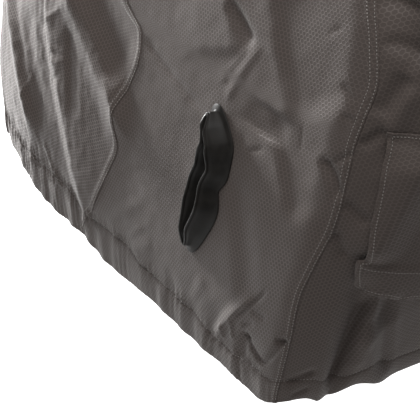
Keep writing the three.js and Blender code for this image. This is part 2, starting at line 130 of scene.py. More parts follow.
# Folds of the front end and its left corner, each from its lower end to its upper one: first the broad
# ones, then the fine creases. Bow is how far the middle of the crest swings to its right, left and right
# are the reaches to its two sides, and crisp runs from 0, a soft roll, to 1, an edge.
FRONT_FOLDS = table(
    "along rise to_along to_rise bow left right crisp height",
    # Broad folds of the right half.
    (71, 163, -156, 291, 24, 52, 32, 0.6, 12),
    (31, 227, -109, 306, -3, 30, 80, 0, -7),
    (-3, 17, -206, 275, 8, 46, 140, 0.5, 9),
    (-68, 139, -111, 247, 4, 14, 30, 0.2, -3),
    (-180, 54, -385, 245, 1, 40, 20, 0.4, 8),
    (-160, 75, -260, 200, 0, 20, 40, 0, -3),
    # Broad folds of the left half.
    (201, 327, 172, 398, 0, 90, 24, 0.5, 2.4),
    (230, 352, 176, 384, 0, 16, 10, 0.4, -4.5),
    (210, 281, 243, 362, -3, 10, 8, 0.6, 1),
    (278, 346, 166, 401, 1, 12, 14, 0.3, 1.2),
    (324, 299, 241, 428, -5, 22, 160, 0.3, -4),
    (420, 275, 362, 470, 0, 44, 40, 0.2, -6),
    (280, 268, 284, 303, 0, 56, 26, 0.4, -3.6),
    (345, 200, 279, 300, 6, 17, 70, 0.4, -3.4),
    (312, 80, 250, 222, 4, 24, 30, 0.1, -3),
    (259, 15, 320, 105, -2, 14, 10, 0.5, 3.6),
    (308, 18, 317, 59, 0, 13, 11, 0.3, -4),
    (24, 42, 113, 121, -6, 14, 14, 0.3, 1),
    # Broad folds of the corner.
    (496, -50, 432, 190, 0, 28, 22, 0.3, -9),
    (556, -50, 482, 116, 0, 32, 32, 0.1, 9),
    (430, 360, 348, 480, 0, 26, 26, 0, -8),
    (432, 184, 442, 312, 0, 42, 30, 0.5, 10),
    # Creases of the right half.
    (-176, 205, -198, 250, 0, 14, 10, 0.3, -2),
    (-170, 221, -126, 254, 0, 6.5, 6.5, 0.6, 1.3),
    (-152, 204, -95, 227, 4, 6, 7, 0.5, -1.2),
    (-147, 188, -95, 210, -3, 6, 7, 0.5, -1.1),
    (-143, 182, -97, 204, 2, 5, 5, 0.6, 0.9),
    (-140, 160, -106, 186, 3, 6, 7, 0.5, -1),
    (-232, 92, -214, 130, -2, 7, 7, 0.5, 1.2),
    (-100, 30, -170, 74, -5, 9, 9, 0.4, 2),
    (-10, 46, 34, 124, 0, 7, 7, 0.3, 0.9),
    # Creases of the left half.
    (190, 257, 48, 294, 0, 6, 12, 0.4, -1.6),
    (195, 298, 222, 348, -1, 5, 5, 0.6, 0.6),
    (314, 390, 332, 405, 0, 4, 4, 0.6, -0.8),
    (291, 234, 240, 262, -2, 4, 5, 0.6, -0.9),
    (258, 248, 280, 261, 0, 3.5, 3.5, 0.6, -0.8),
    (366, 340, 347, 354, 0, 4.5, 4.5, 0.5, -1.6),
    (374, 323, 359, 327, 0, 4.5, 4.5, 0.5, -1.6),
    (367, 310, 360, 329, 0, 4.5, 4.5, 0.5, -1.6),
    (324, 274, 317, 301, 0, 4, 4, 0.5, -0.7),
    (384, 245, 351, 281, 4, 12, 8, 0.4, -5),
    (363, 278, 380, 296, 0, 5, 6, 0.4, -2.6),
    (296, 66, 335, 123, 2, 4, 4, 0.7, -3.2),
    (278, 26, 275, 50, 0, 5, 5, 0.5, 2.2),
    (295, 35, 290, 64, 0, 5, 5, 0.5, 2.2),
    (308, 62, 326, 75, 0, 5, 5, 0.5, -2.2),
    (318, 86, 343, 88, 0, 6, 6, 0.5, -2.2),
    (348, 30, 310, 57, -2, 5, 11, 0.3, -3.2),
    (341, 29, 380, 81, 5, 11, 5, 0.3, -3.2),
    (362, 71, 386, 75, 0, 7, 7, 0.2, -3.6),
    (309, -14, 306, 28, 0, 5, 4, 0.5, -3),
    (250, -2, 252, 28, 0, 4, 4, 0.5, -2),
    (212, 32, 237, 90, 0, 12, 12, 0.2, 0.7),
    (78, 56, 132, 104, -3, 9, 9, 0.4, 0.5),
    (86, 44, 136, 80, 0, 14, 14, 0.2, 0.9),
    # Creases of the corner.
    (381, 302, 399, 324, 0, 8, 12, 0.3, -4),
    (386, 332, 400, 378, 0, 17, 14, 0.2, -5),
    (404, 312, 407, 398, 0, 13, 15, 0.2, 4),
    (412, 185, 389, 214, 0, 12, 8, 0.3, -4),
    (420, 229, 387, 246, 0, 12, 8, 0.3, -3.6),
    (358, 437, 404, 435, 0, 12, 12, 0.3, -4),
    (368, 402, 414, 395, 0, 14, 10, 0.3, -4),
    (472, 10, 456, 150, 0, 20, 12, 0.3, -8),
    (492, 30, 468, 150, 0, 13, 15, 0.1, 3),
    (540, 16, 474, 160, 0, 22, 13, 0.2, -7),
    (390, 21, 436, 47, 0, 9, 9, 0.2, -3),
    (402, 6, 434, 22, 0, 7, 7, 0.2, -2),
)
FRONT_FADE = 0.2

# Broad folds of the left side, as in the solids; the right side mirrors them.
SIDE_FOLDS = table(
    "along rise to_along to_rise width height",
    (380, 1060, 700, 800, 120, 44),
    (820, 1080, 1010, 480, 170, -40),
    (1680, 960, 2420, 560, 170, 26),
    (548, 980, 668, -60, 62, 12),
    (610, 900, 800, -60, 70, -16),
    (600, 960, 950, -60, 82, 20),
    (840, 640, 1105, -60, 72, -15),
    (860, 860, 1290, -60, 86, 18),
    (1330, 460, 1465, -60, 74, -14),
    (1540, 620, 1650, -60, 88, 16),
    (1760, 440, 1830, -60, 76, -15),
    (1960, 640, 2010, -60, 84, 15),
    (2170, 420, 2200, -60, 70, -12),
    (2330, 600, 2400, -60, 74, 13),
    (2470, 560, 2570, 10, 60, -9),
    (2620, 520, 2700, 10, 62, 10),
    (2790, 460, 2840, 10, 58, -9),
)
RIGHT_SHIFT = 46
RIGHT_SHARE = 0.85
SIDE_FADE = 0.3
CREST_POWER = 1.5

# Gathers of the elastic in the hem of each end, which fade as they rise, and ruffles along its channel.
# Their pitch sways and their height swells as they run on, and crisp ones have narrow crests.
GATHERS = table(
    "pitch drift sway height swell stretch top crisp",
    (47, 190, 0.8, 1, 0.5, 1.7, 85, 0),
    (17, 61, 2.6, 0.8, 0.5, 1.7, 54, 0.6),
)
RUFFLES = table(
    "pitch drift sway height swell stretch reach crisp",
    (8.5, 29, 1.7, 1.5, 0.6, 2.3, 11, 0.7),
    (5.3, 17, 1.2, 0.6, 0.6, 2.3, 7, 0.5),
)
GATHER_END = 340
GATHER_FADE = 60
GATHER_FULL = 0.3
GATHER_CALM = 0.7
GATHER_CALM_ALONG = (-30, 80)
SCALLOP = 1
SCALLOP_RUFFLE = 0.6
SCALLOP_RISE = 26

# Soft unevenness all over the cloth, and crumples in the right half of the front end: crossing waves.
RIPPLES = table("length seed height", (95, 0.6, 0.5), (34, 2.1, 0.22))
CRUMPLES = table("length seed height", (31, 3.3, 0.4), (17, 0.4, 0.3))
CRUMPLE_FROM = (-420, -360)
CRUMPLE_TO = (-40, 30)
CRUMPLE_TOP = (400, 600)
WAVES = 5
WAVE_TURN = 2.4
WAVE_SHORTER = 0.17
WAVE_SHIFT = 1.9

# The hem: its fold, and the line that sews its channel.
HEM_THICK = 3
HEM_TURN = 26
CHANNEL = table(
    "along rise",
    (-2900, 30), (-420, 30), (-267, 33), (-170, 47), (-91, 50), (-50, 41), (22, 48), (73, 50),
    (115, 38), (218, 39), (262, 29), (300, 29), (330, 35), (370, 29), (560, 30), (2900, 30),
)
CHANNEL_WIDTH = 1.6
CHANNEL_DEPTH = 0.9
HEM_PUFF = 1.3

# Lapped seams: the lap's step and width, its two stitch lines and the cloth that runs under it.
LAP_STEP = 1.0
LAP_WIDTH = 9.0
LAP_FALL = 1.5
STITCH_LINES = (1.8, 7.4)
STITCH_GROOVE = 0.5
STITCH_GROOVE_WIDTH = 0.8
UNDER = 4.0
UNDER_DIP = 0.7
SEAM_PUCKER = 0.3
SEAM_PUCKER_PITCH = 8.5
SEAM_PUCKER_SWAY = 1.3
SEAM_PUCKER_DRIFT = 23
SEAM_PUCKER_REACH = 10
LAP_EDGE = (0.0, 0.2, 0.9, 1.8, 2.7, 4.0, 5.4, 6.6, 7.4, 8.2, 9.2, 10.8, 13.0, 16.0)
UNDER_EDGE = (0.0, 1.5, 3.0, 4.0, 5.0, 6.5, 8.5, 11.0, 14.0, 17.0, 20.0)

# Lock port: a vinyl collar of two standing lips round a slit in the left half of the front end.
PORT_LOW = 116
PORT_HIGH = 269
PORT_HALF_GAP = 10
PORT_WALL = 2.4
PORT_LIP = 19
PORT_BEAD = 1.7
PORT_BEAD_ARC = (-35, 215)
PORT_BEAD_STEPS = 11
PORT_SHARES = (0.3, 0.5, 0.7, 0.84)
PORT_LEAN_BEND = 1.5
PORT_LEAN_TURN = 0.4
PORT_STATIONS = 168
PORT_FOOT = table(
    "aside off", (0, 0.2), (9.4, 0.2), (9.7, 0.9), (9.0, 1.8), (4.6, 2.0), (3.1, 3.4)
)
PORT_LINE = table(
    "share along gap height near far",
    (0, 206, 1, 0.55, -2, -2),
    (0.15, 214, 1, 1, -8, 2),
    (0.35, 222, 1, 1.05, -9, 8),
    (0.5, 218, 0.75, 0.9, -7, 7),
    (0.64, 225, 0.95, 0.95, -10, 8),
    (0.8, 225, 1, 1.2, -13, 3),
    (0.93, 214, 1, 1.2, -9, -1),
    (1, 204, 1, 0.75, -2, -2),
)

# Flap on the left side panel, with a hemmed lower band.
FLAP_SIDES = table(
    "down front rear",
    (0, 400, 634), (0.3, 413, 640), (0.55, 421, 644), (0.785, 429, 647), (0.8, 422, 648),
    (1, 429, 650),
)
FLAP_ENDS = table(
    "across top bottom", (0, 322, 159), (0.3, 326, 146), (0.6, 328, 124), (1, 326, 112)
)
FLAP_CLEAR = 4.5
FLAP_CLEAR_BY = 0.12
FLAP_THICK = 1.6
FLAP_SUNK = 2
FLAP_EDGE = 0.006
FLAP_BAND = 0.8
FLAP_BAND_STEP = 1.2
FLAP_GAPE = 11
FLAP_GAPE_FROM = 0.45
FLAP_COLUMNS = {"inset": 0.015, "count": 84}
FLAP_ROWS = {"inset": 0.02, "count": 76}

# How closely each panel is woven into its mesh: row steps up to a rise, and column steps up to an along.
FINE_ROWS = table("to step", (60, 2.0), (470, 2.8), (TOP_SEAM, 9.0))
PLAIN_ROWS = table("to step", (60, 3.5), (TOP_SEAM, 9.0))
FIRST_ROW = 2.0
LAST_ROW_GAP = 3
FINE_STEP = 2.7
PLAIN_STEP = 9.0
FINE_SIDE_END = 660
TOP_STEP = 10.0
TOP_ROWS = 34
RIDGE_GAP = 0.5


def smoothstep(value, low, high):
    """0 below low, 1 above high, and a soft ramp between."""
    t = np.clip((np.asarray(value, float) - low) / (high - low), 0, 1)
    return t * t * (3 - 2 * t)


def lerp(a, b, t):
    """The place a share t of the way from a to b."""
    return a + (b - a) * t


def bell(off, reach):
    """1 on a line, falling off softly to both sides of it."""
    return np.exp(-((off / reach) ** 2))


def curve(rows, key, column, at):
    """A smooth curve through one column of a table, with no overshoot between its rows."""
    keys, values = (np.array([getattr(row, name) for row in rows], float) for name in (key, column))
    spans = np.diff(keys)
    slopes = np.diff(values) / spans
    product = slopes[:-1] * slopes[1:]
    together = np.where(product > 0, slopes[:-1] + slopes[1:], 1)
    inner = np.where(product > 0, 2 * product / together, 0)
    tangents = np.concatenate(([slopes[0]], inner, [slopes[-1]]))
    at = np.clip(np.asarray(at, float), keys[0], keys[-1])
    i = np.clip(np.searchsorted(keys, at) - 1, 0, len(spans) - 1)
    t = (at - keys[i]) / spans[i]
    back = 1 - t
    start = (1 + 2 * t) * values[i] + t * spans[i] * tangents[i]
    end = (3 - 2 * t) * values[i + 1] - back * spans[i] * tangents[i + 1]
    return back**2 * start + t**2 * end


def curves(rows, key, at):
    """The curves through all columns of a table."""
    columns = [name for name in vars(rows[0]) if name != key]
    return SimpleNamespace(**{name: curve(rows, key, name, at) for name in columns})


def outline_at(rise):
    """The plan outline at a level, with the turn of its ends and the inset of its corners."""
    outline = curves(LEVELS, "rise", rise)
    nose, corner = outline.nose, outline.corner
    outline.turn = np.arcsin((outline.half - corner) / (nose - corner))
    outline.inset = nose - (nose - corner) * np.cos(outline.turn)
    return outline


GIRTH = outline_at(GIRTH_RISE)
END = float(GIRTH.nose * GIRTH.turn)
CORNER = float(GIRTH.corner * (np.pi / 2 - GIRTH.turn))
SIDE = float(GIRTH.rear - GIRTH.front - 2 * GIRTH.inset)
HALFWAY = 2 * END + 2 * CORNER + SIDE
REAR_SEAM = HALFWAY - REAR_SEAM_FROM_MIDDLE


def wrapped(along):
    """The same place, counted at most halfway round either way."""
    return (along + HALFWAY) % (2 * HALFWAY) - HALFWAY


def from_end(along):
    """How far a place lies from the middle of the nearer end."""
    reach = np.abs(along)
    return np.minimum(reach, HALFWAY - reach)


def mirrored_right(fold):
    """A fold of the left side, as it lies on the right side."""
    right = SimpleNamespace(**vars(fold))
    right.along = -fold.along - RIGHT_SHIFT
    right.to_along = -fold.to_along - RIGHT_SHIFT
    right.height = fold.height * RIGHT_SHARE
    return right


for fold in FRONT_FOLDS:
    fold.fade = FRONT_FADE
for fold in SIDE_FOLDS:
    fold.left = fold.right = fold.width
    fold.bow = fold.crisp = 0
    fold.fade = SIDE_FADE
FOLDS = FRONT_FOLDS + SIDE_FOLDS + [mirrored_right(fold) for fold in SIDE_FOLDS]


def fold_height(along, rise):
    """How far all folds and creases stand out at the places given."""
    stand = np.zeros(np.broadcast(along, rise).shape)
    for fold in FOLDS:
        run_along = fold.to_along - fold.along
        run_rise = fold.to_rise - fold.rise
        length = np.hypot(run_along, run_rise)
        by_along = wrapped(along - fold.along)
        by_rise = rise - fold.rise
        t = (by_along * run_along + by_rise * run_rise) / length**2
        aside = (by_along * run_rise - by_rise * run_along) / length - fold.bow * 4 * t * (1 - t)
        off = np.clip(np.where(aside > 0, aside / fold.right, -aside / fold.left), 0, 1)
        soft = 0.5 * (1 + np.cos(np.pi * off))
        profile = lerp(soft, (1 - off) ** CREST_POWER, fold.crisp)
        ends = smoothstep(t, 0, fold.fade) * smoothstep(1 - t, 0, fold.fade)
        stand += fold.height * ends * profile
    return stand


def elastic_share(along):
    """1 where the hem has elastic, round each end, and 0 along the sides."""
    return 1 - smoothstep(from_end(along), GATHER_END, GATHER_END + GATHER_FADE)


def gather_wave(row, along):
    """One row of gathers at the places given, before its height: a soft wave or narrow crests."""
    sway = row.sway * np.sin(2 * np.pi * along / row.drift)
    phase = 2 * np.pi * along / row.pitch + sway
    narrow = 2 * (1 - np.abs(np.sin(phase / 2))) ** 2 - 0.5
    return lerp(np.sin(phase), narrow, row.crisp)


def swelling_wave(row, along):
    """A row of gathers at its height, which swells and falls along the hem."""
    swell = np.sin(2 * np.pi * along / (row.stretch * row.drift) + row.pitch)
    return row.height * (1 + row.swell * swell) * gather_wave(row, along)


def gather_height(along, rise):
    """How far the gathers and ruffles stand out at the places given."""
    stand = 0
    for row in GATHERS:
        fade = 1 - smoothstep(rise, GATHER_FULL * row.top, row.top)
        stand = stand + fade * swelling_wave(row, along)
    line = curve(CHANNEL, "along", "rise", along)
    for row in RUFFLES:
        stand = stand + bell(rise - line, row.reach) * swelling_wave(row, along)
    calm = lerp(1, GATHER_CALM, smoothstep(along, *GATHER_CALM_ALONG))
    return stand * elastic_share(along) * calm


def hem_lift(along, rise):
    """How far the hem's line and its scallops lift a place."""
    line = curve(HEM_LINE, "along", "lift", along) * (1 - smoothstep(rise, 0, HEM_LINE_FADE))
    scallop = gather_wave(GATHERS[1], along) + SCALLOP_RUFFLE * gather_wave(RUFFLES[0], along)
    return line + SCALLOP * scallop * elastic_share(along) * (1 - smoothstep(rise, 0, SCALLOP_RISE))


def ripple(rows, along, rise):
    """Unevenness from crossing waves, about a row's length apart and each shorter than the last."""
    total = 0
    for row in rows:
        for k in range(WAVES):
            angle = row.seed + WAVE_TURN * k
            way = np.cos(angle) * along + np.sin(angle) * rise
            phase = 2 * np.pi * way * (1 + WAVE_SHORTER * k) / row.length
            total = total + row.height / WAVES * np.sin(phase + WAVE_SHIFT * k + row.seed)
    return total


def height_of(rise):
    """The height of a level, with the crown rounded off."""
    span = CROWN.rise - CROWN_FROM
    over = np.maximum(rise - CROWN_FROM, 0) / span
    return rise - span * over**2 / 2


def cover_point(along_raw, rise_raw):
    """Points of the draped cloth's outer face, in millimetres, with the hem's level at height 0."""
    along = wrapped(np.asarray(along_raw, float))
    rise_raw = np.asarray(rise_raw, float)
    rise = rise_raw + hem_lift(along, rise_raw)
    form = outline_at(rise)
    reach = np.abs(along)
    near = from_end(along)
    end = np.where(reach > HALFWAY / 2, -1.0, 1.0)
    round_end = form.turn * near / END
    round_corner = lerp(form.turn, np.pi / 2, (near - END) / CORNER)
    on_end = near <= END
    on_corner = near <= END + CORNER
    out = np.where(on_end, round_end, np.where(on_corner, round_corner, np.pi / 2))
    length = lerp(form.inset, (form.rear - form.front) / 2, (near - END - CORNER) / (SIDE / 2))
    inward = np.where(
        on_end,
        form.nose * (1 - np.cos(out)),
        np.where(on_corner, form.inset - form.corner * np.cos(out), length),
    )
    on_side = form.half - form.corner + form.corner * np.sin(out)
    across = np.where(on_end, form.nose * np.sin(out), on_side)
    x = np.where(end > 0, form.front + inward, form.rear - inward)
    hand = np.where(along >= 0, -1.0, 1.0)
    waist = lerp(1, curve(STATIONS, "x", "girth", x), smoothstep(rise, WAIST_FROM, WAIST_FULL))
    drop = (1 - curve(STATIONS, "x", "ridge", x)) * smoothstep(rise, RIDGE_FROM, CROWN.rise)
    stand = fold_height(along, rise) + gather_height(along, rise_raw)
    crumpled = smoothstep(along, *CRUMPLE_FROM) * (1 - smoothstep(along, *CRUMPLE_TO))
    crumpled = crumpled * (1 - smoothstep(rise, *CRUMPLE_TOP))
    stand = stand + ripple(RIPPLES, along, rise) + crumpled * ripple(CRUMPLES, along, rise)
    points = np.stack(
        [
            x - end * stand * np.cos(out),
            hand * (across * waist + stand * np.sin(out)),
            height_of(rise) * (1 - drop),
        ],
        -1,
    )
    swing = curve(FRONT_SLACK, "along", "swing", along) * (1 - smoothstep(rise, SLACK_FULL, SLACK_TOP))
    return points + swing[..., None] * np.array(SLACK_WAY)


# How far to each side slopes and normals are measured.
PROBE = 1.5


def cover_normal(along, rise):
    """Outward normals of the draped cloth."""
    round_by = cover_point(along + PROBE, rise) - cover_point(along - PROBE, rise)
    up_by = cover_point(along, rise + PROBE) - cover_point(along, np.maximum(rise - PROBE, 0))
    normal = np.cross(round_by, up_by)
    return normal / np.linalg.norm(normal, axis=-1, keepdims=True)


def off_cover(along, rise, off):
    """Points that stand off the cloth."""
    along, rise = np.broadcast_arrays(along, rise)
    return cover_point(along, rise) + cover_normal(along, rise) * np.asarray(off)[..., None]


SADDLE_TOP = float(height_of(CROWN.rise) * curve(STATIONS, "x", "ridge", SADDLE_X))
ORIGIN = np.array([SADDLE_X, 0.0, SADDLE_TOP - CLOTH])


def in_frame(points):
    """Millimetres of the cover as metres of the part's frame."""
    return (np.asarray(points) - ORIGIN).reshape(-1, 3) * MM


def grid_faces(rows, columns, ring=False):
    """Quads of a grid of points, closed round when it is a ring."""
    row, column = np.indices((rows - 1, columns if ring else columns - 1))
    after = (column + 1) % columns
    corners = [(row, column), (row, after), (row + 1, after), (row + 1, column)]
    return np.stack([r * columns + c for r, c in corners], -1).reshape(-1, 4)


def add_object(name, data):
    """A new object in the scene."""
    made = bpy.data.objects.new(name, data)
    bpy.context.scene.collection.objects.link(made)
    return made


def add_piece(name, points, faces, material, uvs=None):
    """A smooth mesh object in the part's frame, with uvs in metres for each point."""
    mesh = bpy.data.meshes.new(name)
    mesh.from_pydata(in_frame(points).tolist(), [], np.asarray(faces).tolist())
    mesh.materials.append(material)
    mesh.shade_smooth()
    if uvs is not None:
        layer = mesh.uv_layers.new(name="cloth")
        loops = np.empty(len(mesh.loops), np.int32)
        mesh.loops.foreach_get("vertex_index", loops)
        layer.uv.foreach_set("vector", (np.asarray(uvs).reshape(-1, 2)[loops] * MM).ravel())
    piece = add_object(name, mesh)
    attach(piece, "root")
    return piece


def drawn_seam(rows, start=0, hand=1):
    """A seam through the rows of a table, counted on from a start, or back from it with hand -1."""
    return lambda rise: start + hand * curve(rows, "rise", "along", rise)


def straight_seam(along):
    """A seam that runs straight up."""
    return lambda rise: np.full(np.shape(rise), along)


ROUND = 2 * HALFWAY
SEAMS = {
    "centre": drawn_seam(CENTRE_SEAM),
    "left_corner": drawn_seam(CORNER_SEAM),
    "left_rear": straight_seam(REAR_SEAM),
    "right_rear": straight_seam(ROUND - REAR_SEAM),
    "right_corner": drawn_seam(CORNER_SEAM, ROUND, hand=-1),
    "round_centre": drawn_seam(CENTRE_SEAM, ROUND),
}

# The wall panels in order round the cover. A panel's edge laps over its neighbour, or runs under it.
# Grain is how far its weave is turned, in degrees.
WALLS = {
    "front_left": {"seams": ("centre", "left_corner"), "laps": (False, True), "grain": 0},
    "side_left": {"seams": ("left_corner", "left_rear"), "laps": (False, False), "grain": 90},
    "rear_panel": {"seams": ("left_rear", "right_rear"), "laps": (True, True), "grain": 0},
    "side_right": {"seams": ("right_rear", "right_corner"), "laps": (False, False), "grain": 90},
    "front_right": {"seams": ("right_corner", "round_centre"), "laps": (True, True), "grain": 28},
}
FINE_WALLS = ("front_left", "side_left", "front_right")


def stepped(rows, start=0.0):
    """Places from a start through a table of steps."""
    places = [np.array([start])]
    for row in rows:
        count = int(round((row.to - start) / row.step))
        places.append(np.linspace(start, row.to, count + 1)[1:])
        start = row.to
    return np.concatenate(places)


def lap_lift(off):
    """How a lap stands over its seam, with its two sunk stitch lines and its turned edge."""
    lift = LAP_STEP * (1 - smoothstep(off, LAP_WIDTH - LAP_FALL, LAP_WIDTH + LAP_FALL))
    for line in STITCH_LINES:
        lift = lift - STITCH_GROOVE * bell(off - line, STITCH_GROOVE_WIDTH)
    return np.where(off <= 0, -LAP_STEP, lift)


def under_lift(off):
    """How cloth dips where it runs under a lap."""
    return -UNDER_DIP * (1 - smoothstep(off, 0, UNDER))


def pucker(place, off):
    """The small puckers that a seam's thread draws into the cloth beside it."""
    sway = SEAM_PUCKER_SWAY * np.sin(place / SEAM_PUCKER_DRIFT)
    wave = np.sin(2 * np.pi * place / SEAM_PUCKER_PITCH + sway)
    return SEAM_PUCKER * wave * np.exp(-np.maximum(off, 0) / SEAM_PUCKER_REACH)


def hem_relief(along, rise):
    """The puffed hem and the sunk line of its channel."""
    line = curve(CHANNEL, "along", "rise", wrapped(along))
    sunk = CHANNEL_DEPTH * bell(rise - line, CHANNEL_WIDTH)
    puffed = HEM_PUFF * np.sin(np.pi * np.clip(rise / line, 0, 1))
    return puffed - sunk


def seam_slant(seam, rise):
    """How much nearer a leaning seam lies than its distance measured level."""
    slope = (seam(rise + PROBE) - seam(rise - PROBE)) / (2 * PROBE)
    return 1 / np.sqrt(1 + slope**2)


# The hem's rows before the outer face starts: up inside the fold, and round its edge.
HEM_FOLD = table(
    "rise inset", (HEM_TURN, 1), (18, 1), (8, 1), (2, 1), (0.4, 0.8), (0, 0.5), (0.5, 0.15)
)


def wall_places(name):
    """The grid of a wall panel: along, rise, the hem's inset share, and distances from its two seams."""
    wall = WALLS[name]
    fine = name in FINE_WALLS
    rises = stepped(FINE_ROWS if fine else PLAIN_ROWS, FIRST_ROW)
    rises = np.append(rises[:-1], [TOP_SEAM - LAST_ROW_GAP, TOP_SEAM, TOP_SEAM + UNDER])
    inset = np.concatenate(([row.inset for row in HEM_FOLD], np.zeros(len(rises))))
    rise = np.concatenate(([row.rise for row in HEM_FOLD], rises))[:, None]
    first, last = (SEAMS[seam](rise) for seam in wall["seams"])
    slants = [seam_slant(SEAMS[seam], rise) for seam in wall["seams"]]
    edges = [np.array(LAP_EDGE if lap else UNDER_EDGE) for lap in wall["laps"]]
    starts = [0 if lap else UNDER for lap in wall["laps"]]
    left = first + (edges[0] - starts[0]) / slants[0]
    right = last - (edges[1] - starts[1])[::-1] / slants[1]
    wide = float(np.mean(right[:, :1] - left[:, -1:]))
    steps = table("to step", (1, (FINE_STEP if fine else PLAIN_STEP) / wide))
    if name == "side_left":
        fine_share = (FINE_SIDE_END - float(np.mean(left[:, -1:]))) / wide
        steps = table("to step", (fine_share, FINE_STEP / wide), (1, PLAIN_STEP / wide))
    middle = lerp(left[:, -1:], right[:, :1], stepped(steps)[None, 1:-1])
    along = np.concatenate([left, middle, right], axis=1)
    offs = [(along - first) * slants[0] + starts[0], (last - along) * slants[1] + starts[1]]
    return along, np.broadcast_to(rise, along.shape), inset[:, None], offs


def flat_places(along, points, grain):
    """Places on the flat cloth: round by the girth line, up by the drawn length, turned by the grain."""
    steps = np.linalg.norm(np.diff(points, axis=0), axis=-1).mean(axis=1)
    up = np.concatenate(([0], np.cumsum(steps)))[:, None]
    turn = np.radians(grain)
    u = along * np.cos(turn) - up * np.sin(turn)
    v = along * np.sin(turn) + up * np.cos(turn)
    return np.stack([u + ROUND, v + ROUND], -1)


def add_cloth(node, along, points, faces, material, grain):
    """A piece of cloth in place of a node."""
    return add_piece(node + "_cloth", points, faces, material, flat_places(along, points, grain))


def slit_outline(angle):
    """The slit at an angle round it from its foot: along, rise, and height and lean of the lip there."""
    share = 0.5 * (1 - np.cos(angle))
    line = curves(PORT_LINE, "share", share)
    along = line.along + PORT_HALF_GAP * line.gap * np.sin(angle)
    lean = lerp(line.far, line.near, smoothstep(np.sin(angle), -PORT_LEAN_TURN, PORT_LEAN_TURN))
    return along, lerp(PORT_LOW, PORT_HIGH, share), PORT_LIP * line.height, lean


def in_slit(along, rise):
    """Which places lie in the slit."""
    share = np.clip((rise - PORT_LOW) / (PORT_HIGH - PORT_LOW), 0, 1)
    gap = PORT_HALF_GAP * curve(PORT_LINE, "share", "gap", share) * 2 * np.sqrt(share * (1 - share))
    return np.abs(along - curve(PORT_LINE, "share", "along", share)) < gap


def make_wall(name, material):
    """A wall panel with its hem, its laps and its draped folds."""
    along, rise, inset, offs = wall_places(name)
    lift = hem_relief(along, rise) * (inset == 0)
    for off, lap in zip(offs, WALLS[name]["laps"]):
        lift = lift + (lap_lift(off) if lap else under_lift(off)) + pucker(rise, off)
    lift = lift - UNDER_DIP * smoothstep(rise, TOP_SEAM - UNDER, TOP_SEAM) - HEM_THICK * inset
    points = off_cover(along, rise, lift)
    faces = grid_faces(*along.shape)
    if name == "front_left":
        middle = [values.reshape(-1)[faces].mean(axis=1) for values in (along, np.array(rise))]
        faces = faces[~in_slit(*middle)]
    return add_cloth(name, along, points, faces, material, WALLS[name]["grain"])


def make_top(material):
    """The top panel: rings from its seam up to the ridge."""
    seam_rows = TOP_SEAM + np.array(LAP_EDGE)
    upper = np.linspace(seam_rows[-1], CROWN.rise, TOP_ROWS)[1:]
    rise = np.concatenate((seam_rows, upper))[:, None]
    along = np.linspace(0, ROUND, int(ROUND / TOP_STEP), endpoint=False)[None, :]
    along, rise = np.broadcast_arrays(along, rise)
    off = rise - TOP_SEAM
    below_ridge = np.minimum(rise, CROWN.rise - RIDGE_GAP)
    points = off_cover(along, below_ridge, lap_lift(off) + pucker(along, off))
    ridge = points[-1]
    ridge[:, 1] = 0
    ridge[:, 0] = np.clip(ridge[:, 0], CROWN.front + CROWN.nose, CROWN.rear - CROWN.nose)
    faces = grid_faces(*along.shape, ring=True)
    return add_cloth("top_panel", along, points, faces, material, grain=0)


def port_section(height, lean):
    """The collar's section in steps away from the slit and off the cloth, by its height and lean."""
    inner = [(lean * share**PORT_LEAN_BEND, height * share) for share in PORT_SHARES]
    outer = [(PORT_WALL + aside, off) for aside, off in inner]
    middle = lean + PORT_WALL / 2
    bead = [
        (middle + PORT_BEAD * np.cos(angle), height - PORT_BEAD + PORT_BEAD * np.sin(angle))
        for angle in np.radians(np.linspace(*PORT_BEAD_ARC, PORT_BEAD_STEPS))
    ]
    foot = [(row.aside, row.off) for row in PORT_FOOT]
    steps = foot + outer + bead + inner[::-1]
    return [np.broadcast_arrays(aside, off, height)[:2] for aside, off in steps]


def make_port(material):
    """The lock port's collar: its section carried round the slit."""
    angle = np.linspace(0, 2 * np.pi, PORT_STATIONS, endpoint=False)
    along, rise, height, lean = slit_outline(angle)
    base = cover_point(along, rise)
    normal = cover_normal(along, rise)
    run = np.roll(base, -1, axis=0) - np.roll(base, 1, axis=0)
    away = np.cross(run, normal)
    away /= np.linalg.norm(away, axis=-1, keepdims=True)
    section = port_section(height, lean)
    rings = [base + away * aside[..., None] + normal * off[..., None] for aside, off in section]
    faces = grid_faces(len(rings) + 1, PORT_STATIONS, ring=True) % (len(rings) * PORT_STATIONS)
    return add_piece("lock_port_vinyl", np.stack(rings, 0), faces[:, ::-1], material)


def flap_place(across, down):
    """A place on the flap by its shares across and down: along, rise and how far it stands off."""
    front = curve(FLAP_SIDES, "down", "front", down)
    along = lerp(front, curve(FLAP_SIDES, "down", "rear", down), across)
    top = curve(FLAP_ENDS, "across", "top", across)
    rise = lerp(top, curve(FLAP_ENDS, "across", "bottom", across), down)
    gape = FLAP_GAPE * smoothstep(down, FLAP_GAPE_FROM, 1) * np.sqrt(np.sin(np.pi * across))
    band = FLAP_BAND_STEP * smoothstep(down, FLAP_BAND - FLAP_EDGE, FLAP_BAND + FLAP_EDGE)
    clear = FLAP_CLEAR * smoothstep(down, 0, FLAP_CLEAR_BY)
    return along, rise, clear + FLAP_THICK + gape + band


def flap_shares(inset, count):
    """Shares from one edge of the flap to the other, with the turned edges at both ends."""
    middle = np.linspace(inset, 1 - inset, count)
    return np.concatenate(([0, 0, FLAP_EDGE], middle, [1 - FLAP_EDGE, 1, 1]))


